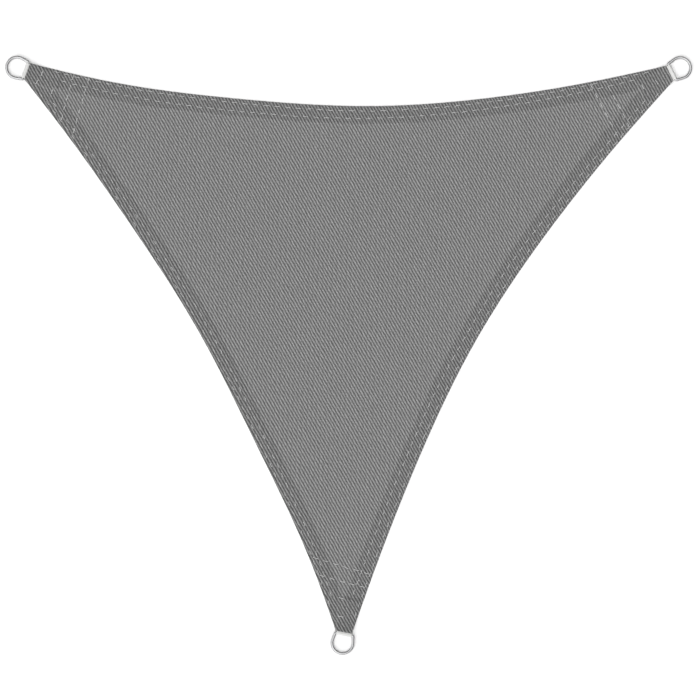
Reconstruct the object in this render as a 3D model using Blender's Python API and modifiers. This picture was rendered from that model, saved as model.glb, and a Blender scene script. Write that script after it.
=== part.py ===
"""A triangular shade sail, laid out flat with its face up.

One sheet of ribbed cloth has three hollow sides and three short blunt tips. Its hem is folded to the
back, so the face steps up over the fold. Each tip is sewn onto a loop of webbing, and the loop holds a
D-ring by its straight bar. +X runs to the right of the sail, +Y to its top side and +Z up out of its
face. The underside lies at z = 0, and the origin is under the middle of the whole outline.
"""

import math
from collections import namedtuple

import bmesh
import bpy
from mathutils import Vector
from mathutils.geometry import delaunay_2d_cdt

# Tips of the cloth, in metres and degrees. (x, y) is the middle of the short end that faces the ring,
# bearing is the way the ring points and end is the length of that short edge. The ring's bar lies
# bar_out beyond it, and the webbing and ring are slid sideways by slide, to the left of the bearing.
Tip = namedtuple("Tip", "name x y bearing end bar_out slide")
TIPS = (
    Tip("left", -0.9346, 0.8260, 160.0, 0.0500, 0.0055, 0.0),
    Tip("bottom", -0.0140, -0.8055, 258.7, 0.0480, 0.0055, 0.0025),
    Tip("right", 0.9335, 0.8200, 26.6, 0.0490, 0.0085, 0.0),
)

# How each side curves in from the straight line between two tips. bow is the main hollow, and the
# other columns are the smaller waves that sewing leaves in it, each with one more half wave than the
# one before. hem is the width of the folded hem along that side.
Side = namedtuple("Side", "start end bow lean shoulder sway ripple hem")
SIDES = (
    Side("left", "bottom", 0.0803, -0.0008, 0.0021, -0.0020, 0.0023, 0.048),
    Side("bottom", "right", 0.1155, -0.0023, -0.0004, -0.0003, 0.0009, 0.051),
    Side("right", "left", 0.1219, 0.0010, 0.0033, -0.0018, 0.0016, 0.051),
)
SIDE_STEPS = 28

# Cloth.
SHEET = 0.0011  # from the underside to the bottom of a groove between ribs
FOLD = 0.0011  # the hem's second layer
SHOULDER = 0.0025  # the width over which the face drops from the hem to the single cloth
RIB_PITCH = 0.00806
RIB_HEIGHT = 0.0004

# Webbing, which is folded round the bar with its two ends lying one on the other.
TAPE_WIDTH = 0.045
TAPE = 0.0012
TAPE_TAIL = 0.095  # from the cloth's short end to the sewn ends of the tape
PLIES_MEET = 0.042  # from the cloth's short end to where the two plies lie together
PLY_SLOPE = math.radians(20)  # how steeply the upper ply leaves the bar
BAR_TURN = math.radians(15)  # one step round the bar

# D-ring.
WIRE = 0.008
BOW_RADIUS = 0.0305
RING_REACH = 0.057  # from the bar to the far end of the bow, between the wire's centres
LEG_LEAN = math.radians(10)
CORNER_RADIUS = 0.005
BOW_STEP = math.radians(10)
CORNER_STEPS = 4
WIRE_BEVEL = 4

GAP = 0.0003  # between neighbouring pieces
EDGE_ROOM = 0.0005  # how far the cloth stays up past the edge of the tape beneath it
CLOTH_FALL = 0.5  # how steeply the cloth comes down beside the tape
CROSS_STEP = 0.007  # between the cross lines where the cloth climbs to a tip

BAR_HEIGHT = TAPE + GAP + WIRE / 2
TAIL_LIFT = 2 * TAPE + 2 * GAP
HELD_HALF = TAPE_WIDTH / 2 + EDGE_ROOM
HELD_TAIL = TAPE_TAIL + EDGE_ROOM

# How the cloth's plan is cut up.
ENCLOSED = 1  # the triangles that the lines enclose
MERGED_WITHIN = 1e-6
FLAT = math.radians(0.05)  # faces of the underside that are this near level become one
UNDERSIDE = -0.5  # the upright part of a face's normal, below which it belongs to the underside

# Colours in linear light.
CLOTH_GREY = (0.22, 0.22, 0.22, 1.0)
TAPE_GREY = (0.74, 0.74, 0.73, 1.0)
STEEL = (0.62, 0.62, 0.63, 1.0)


def clear_scene():
    for obj in list(bpy.data.objects):
        bpy.data.objects.remove(obj, do_unlink=True)


def make_material(name, colour, roughness, metallic=0.0):
    material = bpy.data.materials.new(name)
    material.use_nodes = True
    shader = material.node_tree.nodes["Principled BSDF"]
    shader.inputs["Base Color"].default_value = colour
    shader.inputs["Roughness"].default_value = roughness
    shader.inputs["Metallic"].default_value = metallic
    return material


def add_object(name, data, collection, material=None, parent=None):
    obj = bpy.data.objects.new(name, data)
    collection.objects.link(obj)
    obj.parent = parent
    if material:
        data.materials.append(material)
    return obj


# ---- the plan of the cloth ---------------------------------------------------------------------


def outward(tip):
    """The way the tip's ring points."""
    angle = math.radians(tip.bearing)
    return Vector((math.cos(angle), math.sin(angle)))


def turned_left(direction):
    return Vector((-direction.y, direction.x))


def fitting_middle(tip):
    """The point of the cloth's short end that the middle of the webbing crosses."""
    return Vector((tip.x, tip.y)) + turned_left(outward(tip)) * tip.slide


def end_corner(tip, side):
    """One end of the tip's short edge: side is 1 to the left of the way the ring points, -1 to the right."""
    return Vector((tip.x, tip.y)) + turned_left(outward(tip)) * side * tip.end / 2


def side_curve(side):
    """Points along a side, going round the cloth anticlockwise."""
    tips = {tip.name: tip for tip in TIPS}
    start = end_corner(tips[side.start], 1)
    finish = end_corner(tips[side.end], -1)
    inward = turned_left((finish - start).normalized())
    waves = (side.bow, side.lean, side.shoulder, side.sway, side.ripple)
    points = []
    for step in range(SIDE_STEPS + 1):
        share = step / SIDE_STEPS
        sag = sum(wave * math.sin((order + 1) * math.pi * share) for order, wave in enumerate(waves))
        points.append(start.lerp(finish, share) + inward * sag)
    return points


def moved_in(points, distance):
    """The same line, moved inwards by a distance."""
    last = len(points) - 1
    moved = []
    for i, point in enumerate(points):
        along = points[min(i + 1, last)] - points[max(i - 1, 0)]
        moved.append(point + turned_left(along.normalized()) * distance)
    return moved


def distance_to(point, line):
    """The distance from a point to a line of straight steps."""
    nearest = math.inf
    for a, b in zip(line, line[1:]):
        step = b - a
        share = max(0.0, min(1.0, (point - a).dot(step) / step.length_squared))
        nearest = min(nearest, (point - a - step * share).length)
    return nearest


def rib_direction():
    """The ribs run with the left side, which was cut along the cloth's length."""
    left, bottom = TIPS[0], TIPS[1]
    return (end_corner(bottom, -1) - end_corner(left, 1)).normalized()


# ---- heights -----------------------------------------------------------------------------------


def upper_ply(tip, out):
    """(height, slope) of the upper ply's middle, at a distance outside the cloth's short end.

    It leaves the round of the bar at PLY_SLOPE and comes down onto the lower ply on a smooth curve.
    """
    radius = WIRE / 2 + GAP + TAPE / 2
    begin = -PLIES_MEET
    finish = tip.bar_out - radius * math.sin(PLY_SLOPE)
    low = TAPE * 1.5 + GAP
    high = BAR_HEIGHT + radius * math.cos(PLY_SLOPE)
    if out <= begin:
        return low, 0.0
    run = finish - begin
    share = (out - begin) / run
    end_slope = math.tan(PLY_SLOPE)
    rise = high - low
    height = low + rise * share**2 * (3 - 2 * share) + run * end_slope * share**2 * (share - 1)
    slope = rise / run * 6 * share * (1 - share) + end_slope * share * (3 * share - 2)
    return height, slope


def over_tape(tip, out):
    """The height of the cloth's underside where it lies on the tape."""
    height, slope = upper_ply(tip, out)
    return height + (TAPE / 2 + GAP) * math.sqrt(1 + slope**2)


def tip_lift(point):
    """How far the cloth is held up off the surface by the webbing beneath its tips."""
    lift = 0.0
    for tip in TIPS:
        away = outward(tip)
        offset = point - fitting_middle(tip)
        out = offset.dot(away)
        aside = abs(offset.dot(turned_left(away)))
        past_edge = max(aside - HELD_HALF, -HELD_TAIL - out, 0.0)
        lift = max(lift, over_tape(tip, out) - CLOTH_FALL * past_edge)
    return lift


def rib_height(point, across):
    """A rib's crest lies halfway between two grooves."""
    share = (point.dot(across) / RIB_PITCH) % 1.0
    return RIB_HEIGHT * (1 - abs(2 * share - 1))


def hem_height(point, curves):
    """The second layer, where the point lies within the hem of any side."""
    share = 0.0
    for side, curve in zip(SIDES, curves):
        share = max(share, (side.hem - distance_to(point, curve)) / SHOULDER)
    return FOLD * min(1.0, share)


# ---- the cloth's mesh --------------------------------------------------------------------------


def rib_lines(outline, along, across):
    """A straight line for each crest and each groove, right across the cloth."""
    reach = [point.dot(across) for point in outline]
    ends = [point.dot(along) for point in outline]
    half = RIB_PITCH / 2
    lines = []
    for number in range(math.ceil(min(reach) / half), math.floor(max(reach) / half) + 1):
        middle = across * number * half
        lines.append([middle + along * (min(ends) - half), middle + along * (max(ends) + half)])
    return lines


def tip_lines(tip):
    """The lines along which the cloth bends as it climbs onto the webbing of one tip."""
    away = outward(tip)
    left = turned_left(away)
    middle = fitting_middle(tip)

    def spot(out, aside):
        return middle + away * out + left * aside

    climbs = [-CROSS_STEP * number for number in range(round(PLIES_MEET / CROSS_STEP) + 1)]
    feet = [(out, HELD_HALF + over_tape(tip, out) / CLOTH_FALL) for out in climbs + [-HELD_TAIL]]
    tail_foot = (-HELD_TAIL - TAIL_LIFT / CLOTH_FALL, feet[-1][1])
    lines = [[spot(out, -foot), spot(out, foot)] for out, foot in feet[1:] + [tail_foot]]
    for side in (-1, 1):
        lines.append([spot(out, foot * side) for out, foot in feet + [tail_foot]])
        lines.append([spot(0.0, HELD_HALF * side), spot(-HELD_TAIL, HELD_HALF * side)])
        lines.append([spot(-HELD_TAIL, HELD_HALF * side), spot(tail_foot[0], tail_foot[1] * side)])
    return lines


def cloth_plan(outline, lines):
    """Points and triangles of the cloth's plan, with an edge along each of the lines."""
    given = list(outline)
    whole = list(range(len(outline)))
    edges = []
    for line in lines:
        edges += [(len(given) + i, len(given) + i + 1) for i in range(len(line) - 1)]
        given += line
    made = delaunay_2d_cdt(given, edges, [whole], ENCLOSED, MERGED_WITHIN)
    points, triangles, sources = made[0], made[2], made[5]
    inside = [corners for corners, source in zip(triangles, sources) if source]
    used = sorted({corner for corners in inside for corner in corners})
    place = {corner: i for i, corner in enumerate(used)}
    return [points[i] for i in used], [[place[i] for i in corners] for corners in inside]


def faces_down(item):
    """Whether every face at a vertex or an edge belongs to the underside."""
    return all(face.normal.z < UNDERSIDE for face in item.link_faces)


def add_cloth(collection, material):
    curves = [side_curve(side) for side in SIDES]
    outline = [point for curve in curves for point in curve]
    along = rib_direction()
    across = turned_left(along)
    lines = rib_lines(outline, along, across)
    for side, curve in zip(SIDES, curves):
        lines += [moved_in(curve, side.hem), moved_in(curve, side.hem - SHOULDER)]
    for tip in TIPS:
        lines += tip_lines(tip)
    points, triangles = cloth_plan(outline, lines)

    mesh = bmesh.new()
    under = [mesh.verts.new((p.x, p.y, tip_lift(p))) for p in points]
    for corners in triangles:
        mesh.faces.new([under[i] for i in reversed(corners)])
    top = bmesh.ops.extrude_face_region(mesh, geom=mesh.faces[:], use_keep_orig=True)["geom"]
    for vert in [item for item in top if isinstance(item, bmesh.types.BMVert)]:
        plan = vert.co.xy
        vert.co.z += SHEET + hem_height(plan, curves) + rib_height(plan, across)
    bmesh.ops.recalc_face_normals(mesh, faces=mesh.faces[:])
    mesh.normal_update()
    beneath = [vert for vert in mesh.verts if faces_down(vert)]
    level = [edge for edge in mesh.edges if faces_down(edge)]
    bmesh.ops.dissolve_limit(mesh, angle_limit=FLAT, verts=beneath, edges=level)
    data = bpy.data.meshes.new("sail_cloth")
    mesh.to_mesh(data)
    mesh.free()
    return add_object("sail_cloth", data, collection, material)


# ---- the fittings at each tip ------------------------------------------------------------------


def add_tip_frame(tip, collection):
    """An empty where the webbing crosses the cloth's short end: its Y points out to the ring, its Z up."""
    frame = add_object(f"tip_{tip.name}", None, collection)
    frame.location = fitting_middle(tip).to_3d()
    frame.rotation_euler.z = math.radians(tip.bearing - 90)
    return frame


def tape_path(tip):
    """The middle of the tape as (out, height): under the bar, round it and back over itself."""
    radius = WIRE / 2 + GAP + TAPE / 2
    path = [(-TAPE_TAIL, TAPE / 2), (-PLIES_MEET, TAPE / 2)]
    turn = math.pi + PLY_SLOPE
    steps = math.ceil(turn / BAR_TURN)
    for step in range(steps + 1):
        angle = -math.pi / 2 + turn * step / steps
        path.append((tip.bar_out + radius * math.cos(angle), BAR_HEIGHT + radius * math.sin(angle)))
    leaves_bar = path[-1][0]
    steps = round((leaves_bar + PLIES_MEET) / CROSS_STEP)
    for step in range(1, steps + 1):
        out = leaves_bar - (leaves_bar + PLIES_MEET) * step / steps
        path.append((out, upper_ply(tip, out)[0]))
    path.append((-TAPE_TAIL, path[-1][1]))
    return path


def add_webbing(tip, collection, material, frame):
    """The tape's middle surface, thickened evenly on both sides."""
    mesh = bmesh.new()
    line = [mesh.verts.new((-TAPE_WIDTH / 2, out, height)) for out, height in tape_path(tip)]
    edges = [mesh.edges.new(pair) for pair in zip(line, line[1:])]
    swept = bmesh.ops.extrude_edge_only(mesh, edges=edges)["geom"]
    far = [item for item in swept if isinstance(item, bmesh.types.BMVert)]
    bmesh.ops.translate(mesh, verts=far, vec=(TAPE_WIDTH, 0.0, 0.0))
    bmesh.ops.recalc_face_normals(mesh, faces=mesh.faces[:])
    data = bpy.data.meshes.new(f"webbing_{tip.name}")
    mesh.to_mesh(data)
    mesh.free()
    obj = add_object(f"webbing_{tip.name}", data, collection, material, frame)
    thicken = obj.modifiers.new("thickness", "SOLIDIFY")
    thicken.thickness = TAPE
    thicken.offset = 0.0
    thicken.use_even_offset = True
    return obj


def ring_outline():
    """Half of the ring's centre line as (aside, out), from the middle of the bar to the end of the bow."""
    bow_out = RING_REACH - BOW_RADIUS
    leg_end = Vector((BOW_RADIUS * math.cos(LEG_LEAN), bow_out - BOW_RADIUS * math.sin(LEG_LEAN)))
    corner = Vector((leg_end.x - leg_end.y * math.tan(LEG_LEAN), 0.0))
    turn = math.pi / 2 - LEG_LEAN
    bar_end = corner.x - CORNER_RADIUS * math.tan(turn / 2)
    points = [Vector((0.0, 0.0))]
    for step in range(CORNER_STEPS + 1):
        angle = turn * step / CORNER_STEPS
        points.append(
            Vector((bar_end + CORNER_RADIUS * math.sin(angle), CORNER_RADIUS * (1 - math.cos(angle))))
        )
    bow_steps = round((math.pi / 2 + LEG_LEAN) / BOW_STEP)
    for step in range(bow_steps + 1):
        angle = -LEG_LEAN + (math.pi / 2 + LEG_LEAN) * step / bow_steps
        points.append(Vector((BOW_RADIUS * math.cos(angle), bow_out + BOW_RADIUS * math.sin(angle))))
    return points


def add_ring(tip, collection, material, frame):
    """The bent wire. Its bar lies in the webbing and the end of its bow rests on the surface."""
    half = ring_outline()
    loop = half + [Vector((-point.x, point.y)) for point in reversed(half[1:-1])]
    data = bpy.data.curves.new(f"ring_{tip.name}", "CURVE")
    data.dimensions = "3D"
    data.bevel_depth = WIRE / 2
    data.bevel_resolution = WIRE_BEVEL
    spline = data.splines.new("POLY")
    spline.points.add(len(loop) - 1)
    for target, point in zip(spline.points, loop):
        target.co = (point.x, point.y, 0.0, 1.0)
    spline.use_cyclic_u = True
    spline.use_smooth = True
    ring = add_object(f"ring_{tip.name}", data, collection, material, frame)
    ring.location = (0.0, tip.bar_out, BAR_HEIGHT)
    ring.rotation_euler.x = -math.asin((BAR_HEIGHT - WIRE / 2) / RING_REACH)
    return ring


def main():
    clear_scene()
    collection = bpy.data.collections.new("shade_sail")
    bpy.context.scene.collection.children.link(collection)
    cloth = make_material("cloth", CLOTH_GREY, roughness=0.9)
    tape = make_material("webbing", TAPE_GREY, roughness=0.8)
    steel = make_material("steel", STEEL, roughness=0.2, metallic=1.0)
    add_cloth(collection, cloth)
    for tip in TIPS:
        frame = add_tip_frame(tip, collection)
        add_webbing(tip, collection, tape, frame)
        add_ring(tip, collection, steel, frame)


main()
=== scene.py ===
"""The looks of the shade sail, with its floor, light and camera.

Ribbed cloth, webbing loops and D-rings take the place of the plain solids, and sewing is added. All
sizes are in metres in the part's frame: +X runs to the right of the sail, +Y to its top side and +Z
up out of its face. The sail lies on the floor at z = 0.
"""

import math
from collections import namedtuple

import bpy
import numpy as np
from mathutils import Matrix, Vector
from mathutils.geometry import delaunay_2d_cdt

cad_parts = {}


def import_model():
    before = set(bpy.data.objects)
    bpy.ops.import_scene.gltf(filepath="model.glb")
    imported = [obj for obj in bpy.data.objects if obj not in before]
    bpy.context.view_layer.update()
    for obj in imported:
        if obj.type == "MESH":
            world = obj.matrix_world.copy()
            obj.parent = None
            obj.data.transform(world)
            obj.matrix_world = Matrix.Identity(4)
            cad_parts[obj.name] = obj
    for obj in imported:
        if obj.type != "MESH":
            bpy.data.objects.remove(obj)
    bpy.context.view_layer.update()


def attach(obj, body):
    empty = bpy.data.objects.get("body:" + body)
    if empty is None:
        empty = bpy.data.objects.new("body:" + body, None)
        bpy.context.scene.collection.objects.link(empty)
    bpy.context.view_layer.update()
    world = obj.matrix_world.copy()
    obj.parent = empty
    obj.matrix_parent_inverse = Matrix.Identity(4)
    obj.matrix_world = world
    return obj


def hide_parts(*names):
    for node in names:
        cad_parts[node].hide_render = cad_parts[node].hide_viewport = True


# ---- sizes that the solids share ----------------------------------------------------------------

# (x, y) is the middle of the cloth's short end, bearing is the way its ring points, in degrees, and
# end is the length of that short edge. The ring's bar lies bar_out beyond it, slid aside by slide.
Tip = namedtuple("Tip", "name x y bearing end bar_out slide")
TIPS = (
    Tip("left", -0.9346, 0.8260, 160.0, 0.0500, 0.0055, 0.0),
    Tip("bottom", -0.0140, -0.8055, 258.7, 0.0480, 0.0055, 0.0025),
    Tip("right", 0.9335, 0.8200, 26.6, 0.0490, 0.0085, 0.0),
)

# Each side's curve is a sum of half waves: one for bow, two for lean and so on. hem is the width
# that is turned under, where the solid has 0.050 on every side.
Side = namedtuple("Side", "name start end bow lean shoulder sway ripple hem")
SIDES = (
    Side("left", "left", "bottom", 0.0803, -0.0008, 0.0021, -0.0020, 0.0023, 0.0450),
    Side("right", "bottom", "right", 0.1155, -0.0023, -0.0004, -0.0003, 0.0009, 0.0510),
    Side("top", "right", "left", 0.1219, 0.0010, 0.0033, -0.0018, 0.0016, 0.0505),
)
SIDE_STEPS = 60

SHEET = 0.0011  # thickness of the cloth
FOLD = 0.0011  # what the turned hem adds to it
RIB_PITCH = 0.00806
RIB_HEIGHT = 0.0005

TAPE_WIDTH = 0.045
TAPE = 0.0012  # thickness of the tape
TAPE_TAIL = 0.095  # how far the tape goes in under the cloth
PLIES_MEET = 0.042  # inward from the short end, where the upper ply comes down onto the lower one
PLY_SLOPE = math.radians(20)  # at which the upper ply leaves the bar

WIRE = 0.008
BOW_RADIUS = 0.0305
RING_REACH = 0.057  # from the middle of the bar to the far point of the bow's middle line
LEG_LEAN = math.radians(10)
CORNER_RADIUS = 0.005

GAP = 0.0003
HELD_HALF = TAPE_WIDTH / 2 + 0.0005  # the tape holds the cloth up this far aside
HELD_TAIL = TAPE_TAIL + 0.0005  # and this far inward
CLOTH_FALL = 0.5  # slope of the cloth beside the tape
BAR_HEIGHT = TAPE + GAP + WIRE / 2
TURN_RADIUS = WIRE / 2 + GAP + TAPE / 2  # of the tape's middle round the bar

# ---- sizes of the finer work --------------------------------------------------------------------

LINES_PER_RIB = 4
HEM_STEP = 0.006  # between cuts along a rib, in the hems and their surroundings
PANEL_STEP = 0.012
FINE_WITHIN = 0.062  # from a side, the width that is cut up finely
LINE_PAST = 0.002  # how far the lines along the ribs go on past the outline
BACK_STEP = 0.040
BACK_MARGIN = 0.002  # the back's bends keep this far from the outline
BACK_BEND_STEP = 0.012
CLIMB_STEP = 0.007  # between the bends across the cloth where it climbs onto the tape
CLIMBS = 7

EDGE_ROUND = 0.0012  # radius of the fold along the outer edge
EDGE_ANGLES = (60, 25, -10, -50)  # round the fold, in degrees, between its top and its foot
FALL_BEGIN = -0.0006  # from the hem's cut edge, where the face starts to fall to the single cloth
FALL_END = 0.0045
CUT_EDGE = 0.0011  # height of the fold's cut edge above the floor
CUT_FACE = (-0.0003, 0.0001)  # the back steps up to it between these distances past the hem
BACK_LIFT = 0.0003  # how far the thread on the back keeps the cloth off the floor
TAPE_LIFT = 0.0002  # the same for the tape, which rises to it over the next distance
TAPE_LIFT_WITHIN = 0.03

RIB_ROUND = 2.2  # the higher, the flatter the crests and the narrower the grooves
RIB_FRAY = (RIB_PITCH / 2, 0.03)  # across and along the ribs, the size of their uneven patches
RIB_DRIFT = 0.0004  # how far a rib wanders sideways
DRIFT_SIZE = (0.013, 0.045)
DRIFT_FROM_EDGE = 0.006  # over this distance from the edge it grows from nothing
LIE = 0.0007  # height of the slow waves in which the cloth lies
WIDE_WAVES = (0.21, 0.24)
SMALL_WAVES = (0.07, 0.09)
LIE_BEHIND = 0.1  # past the hems, the distance over which the back rises to those waves
PUCKER = 0.00035  # how far a row of stitches pulls the face down
PUCKER_HALF = 0.004
PUCKER_SIZE = (0.016, 0.016)

# The two rows of stitches along each hem, the outer one first. The middle of a row's first stitch
# lies first along it, and that of its last one at least last before the end. stitch is the length of
# thread that shows. insets are the row's distances from the edge, at even steps along the side.
HemRow = namedtuple("HemRow", "first last pitch stitch insets")
OUTER_RIGHT = (0.0085, 0.0088, 0.0098, 0.0113, 0.0085, 0.0128, 0.0086, 0.0060, 0.0085)
INNER_RIGHT = (0.0340, 0.0350, 0.0345, 0.0358, 0.0323, 0.0345, 0.0280, 0.0230, 0.0220)
HEM_ROWS = {
    "left": (
        HemRow(0.0643, 0.083, 0.03102, 0.0145, (0.0105, 0.0105, 0.0125, 0.0115, 0.0065)),
        HemRow(0.1112, 0.105, 0.03098, 0.0145, (0.0225, 0.0290, 0.0300, 0.0290, 0.0200)),
    ),
    "right": (
        HemRow(0.0556, 0.060, 0.03096, 0.0165, OUTER_RIGHT),
        HemRow(0.1159, 0.100, 0.03096, 0.0165, INNER_RIGHT),
    ),
    "top": (
        HemRow(0.0596, 0.070, 0.03096, 0.0170, (0.0055, 0.0115, 0.0138, 0.0100, 0.0050)),
        HemRow(0.1054, 0.100, 0.03094, 0.0170, (0.0180, 0.0295, 0.0363, 0.0345, 0.0265)),
    ),
}

# The rows across each corner, from start to finish: (inward from the cloth's short end, aside to
# the left of the way the ring points).
Row = namedtuple("Row", "start finish stitches")
CORNER_ROWS = {
    "left": (
        Row((0.129, -0.036), (0.141, 0.099), 5),
        Row((0.175, -0.043), (0.187, 0.124), 6),
        Row((0.043, -0.017), (0.036, 0.026), 2),
        Row((0.088, 0.023), (0.087, 0.037), 1),
    ),
    "bottom": (
        Row((0.149, -0.102), (0.138, 0.036), 5),
        Row((0.196, -0.131), (0.180, 0.039), 6),
        Row((0.043, -0.024), (0.044, -0.009), 1),
        Row((0.096, -0.034), (0.094, -0.018), 1),
    ),
    "right": (
        Row((0.173, -0.089), (0.176, 0.048), 5),
        Row((0.215, -0.096), (0.220, 0.076), 6),
        Row((0.043, -0.013), (0.046, 0.002), 1),
        Row((0.087, -0.010), (0.087, 0.010), 1),
    ),
}
CORNER_STITCH = 0.0160

# Rows beneath the tape, which hold it to the cloth: their distances inward from the short end.
TAPE_ROWS = (0.043, 0.088)
TAPE_ROW_HALF = 0.019
TAPE_ROW_STITCHES = 3
TAPE_STITCH = 0.010
TAPE_STITCH_PITCH = 0.014

HEM_STRAND = 0.00037  # radius of one of the two strands of the thread along the hems
CORNER_STRAND = 0.00045  # and of the stronger thread across the corners
STRAND_SIDES = 6
STRANDS_APART = 0.95  # from the thread's middle to a strand's middle, in radii of the strand
TWIST = 0.0050  # one full turn of the strands
STITCH_CUTS = 13
ON_CLOTH = 1.3  # height of the thread's middle above the cloth, in radii of a strand
BEND = 0.0006  # spread of how far a stitch bows aside, of the hook at its end and of its slant
HOOK = 0.0012
SLANT = 0.0007
HOOK_FROM = 0.65  # share of a stitch where its hook begins
END_SHARE = 0.12  # share at either end in which the thread dips through the cloth
FACE_DIP = 0.0019
BACK_DIP = 0.0009
PRESSED = 0.5  # height that is left to the thread where it is pressed into the back
SEED = 7  # of the stitches' random shapes

# Cuts across the tape, along its lower ply, round the bar and along its upper ply.
TAPE_COLUMNS = 30
LOWER_CUTS = 80
TURN_CUTS = 26
UPPER_CUTS = 86

WEFT_PITCH = 0.0024
WEFT_RIDGE = 0.00005
WEFT_SUNK = 0.00006  # how far below the solid's surface the middle of the ridges lies
SELVEDGE = 14  # the higher, the narrower the thin strip along the tape's edges
SELVEDGE_LOSS = 0.9  # what the square of the thickness loses there

# Cuts round the ring's wire, and along half of its bar, a corner, a leg and half of its bow.
RING_SIDES = 28
BAR_CUTS = 10
CORNER_CUTS = 11
LEG_CUTS = 8
BOW_CUTS = 34

# ---- tones of the materials ---------------------------------------------------------------------

# The cloth's tone is painted shade in the grooves and painted light on the crests, standing in for
# the ribs' relief.
LIT_CREST_TONE = 0.322
SHADED_GROOVE_TONE = 0.077
HEM_SHADE_CREST = 0.88  # what the folded hem's painted shade leaves of the tone of a crest, and of a groove, as less light comes through the double cloth
HEM_SHADE_GROOVE = 0.72
BRICK = 0.0258  # painted highlight streaks return at this distance along a rib, and halfway on the next rib
BRICK_ASIDE = 0.235  # they lie this far to the side of the crest, in ribs
HIGHLIGHT_STREAK = 0.09
FINE_HIGHLIGHT_STREAK = 0.085  # the same, three times as often
LOOPS = 6  # knitted loops in the length of a brick
LOOP_SLANT = 1.7  # how far loops slant on their way from a crest to the grooves, in loops to a rib
RIB_WANDER = 0.22  # how far the ribs' tone wanders sideways, in ribs
TAPE_TONE = (0.70, 0.70, 0.69, 1.0)
TWILL_ACROSS = 0.0030
TWILL_ALONG = 0.0048

# ---- camera, floor and light --------------------------------------------------------------------

VIEW_WIDTH = 2.0377
VIEW_CENTRE = (0.0041, 0.0153)
CAMERA_HEIGHT = 9.0
VIEW_DEPTH = 100.0
SENSOR = 36.0
FLOOR_SIZE = 80.0
FLOOR_DROP = 0.0002
SKY = 1.95  # strength overhead
HORIZON_LIGHT = 1.5
HORIZON_DARK = 0.03
DARK_WAY = (0.70, 0.71, 0.0)  # towards the dark side of the horizon
SUN_STRENGTH = 0.35
SUN_ANGLE = 40.0  # how wide the sun is, in degrees
SUN_TILT = (28.0, -26.0, 0.0)


# ---- plane geometry -----------------------------------------------------------------------------


def unit(vectors):
    return vectors / np.linalg.norm(vectors, axis=-1, keepdims=True)


def turned_left(directions):
    return np.stack((-directions[..., 1], directions[..., 0]), axis=-1)


def outward(tip):
    angle = math.radians(tip.bearing)
    return np.array((math.cos(angle), math.sin(angle)))


def tip_point(tip, inward, aside):
    """A point of the plan, measured from the middle of a tip's short end."""
    away = outward(tip)
    return np.array((tip.x, tip.y)) - away * inward + turned_left(away) * aside


def tip_named(name):
    return next(tip for tip in TIPS if tip.name == name)


def side_curve(side):
    start = tip_point(tip_named(side.start), 0.0, tip_named(side.start).end / 2)
    finish = tip_point(tip_named(side.end), 0.0, -tip_named(side.end).end / 2)
    inward = turned_left(unit(finish - start))
    share = np.linspace(0.0, 1.0, SIDE_STEPS + 1)[:, None]
    waves = (side.bow, side.lean, side.shoulder, side.sway, side.ripple)
    sag = sum(wave * np.sin((order + 1) * math.pi * share) for order, wave in enumerate(waves))
    return start + (finish - start) * share + inward * sag


CURVES = [side_curve(side) for side in SIDES]
OUTLINE = np.vstack(CURVES)
HEMS = np.array([side.hem for side in SIDES])
ALONG = unit(CURVES[0][-1] - CURVES[0][0])  # the ribs run with the left side
ACROSS = turned_left(ALONG)


def weave_of(points):
    """A point's place in the cloth's own directions: across the ribs and along them."""
    return np.stack((points @ ACROSS, points @ ALONG), axis=-1)


def moved_in(line, distance):
    """An open line, moved to its left."""
    ahead = np.gradient(line, axis=0)
    return line + turned_left(ahead) * distance / np.linalg.norm(ahead, axis=1, keepdims=True)


def grown(loop, distance):
    """A closed anticlockwise loop, moved outwards by a distance."""
    normal = -turned_left(unit(np.roll(loop, -1, axis=0) - loop))
    before = np.roll(normal, 1, axis=0)
    spread = 1.0 + np.sum(normal * before, axis=1, keepdims=True)
    return loop + (normal + before) / spread * distance


def lengths_along(line):
    """How far along a line each of its points lies."""
    return np.concatenate(([0.0], np.cumsum(np.linalg.norm(np.diff(line, axis=0), axis=1))))


def cut_at(line, stops):
    """Points of a line at the given distances along it."""
    lengths = lengths_along(line)
    return np.stack([np.interp(stops, lengths, line[:, k]) for k in (0, 1)], axis=-1)


def nearest_on(points, line):
    """(distance, nearest point) on a line of straight steps, for each point."""
    best = np.full(len(points), np.inf)
    foot = np.zeros_like(points)
    for a, b in zip(line[:-1], line[1:]):
        step = b - a
        share = np.clip((points - a) @ step / (step @ step), 0.0, 1.0)
        near = a + share[:, None] * step
        far = np.linalg.norm(points - near, axis=1)
        closer = far < best
        best[closer], foot[closer] = far[closer], near[closer]
    return best, foot


def from_sides(points):
    """The distance of each point from each of the three sides."""
    return np.stack([nearest_on(points, curve)[0] for curve in CURVES], axis=1)


def past_hems(away):
    """How far past the hems' cut edges each point lies, from its distances to the sides."""
    return (away - HEMS).min(axis=1)


def row_inset(row, curve, points):
    """How far in from its side a row of hem stitches runs, beside each point."""
    chord = curve[-1] - curve[0]
    share = (points - curve[0]) @ chord / (chord @ chord)
    return np.interp(share, np.linspace(0.0, 1.0, len(row.insets)), row.insets)


def from_tape(tip, points):
    """(outward from the short end, aside from the tape's middle) of each point."""
    away = outward(tip)
    offset = points - tip_point(tip, 0.0, tip.slide)
    return offset @ away, np.abs(offset @ turned_left(away))


def smooth(share):
    """A share from 0 to 1, eased at both ends."""
    share = np.clip(share, 0.0, 1.0)
    return share * share * (3.0 - 2.0 * share)


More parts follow.
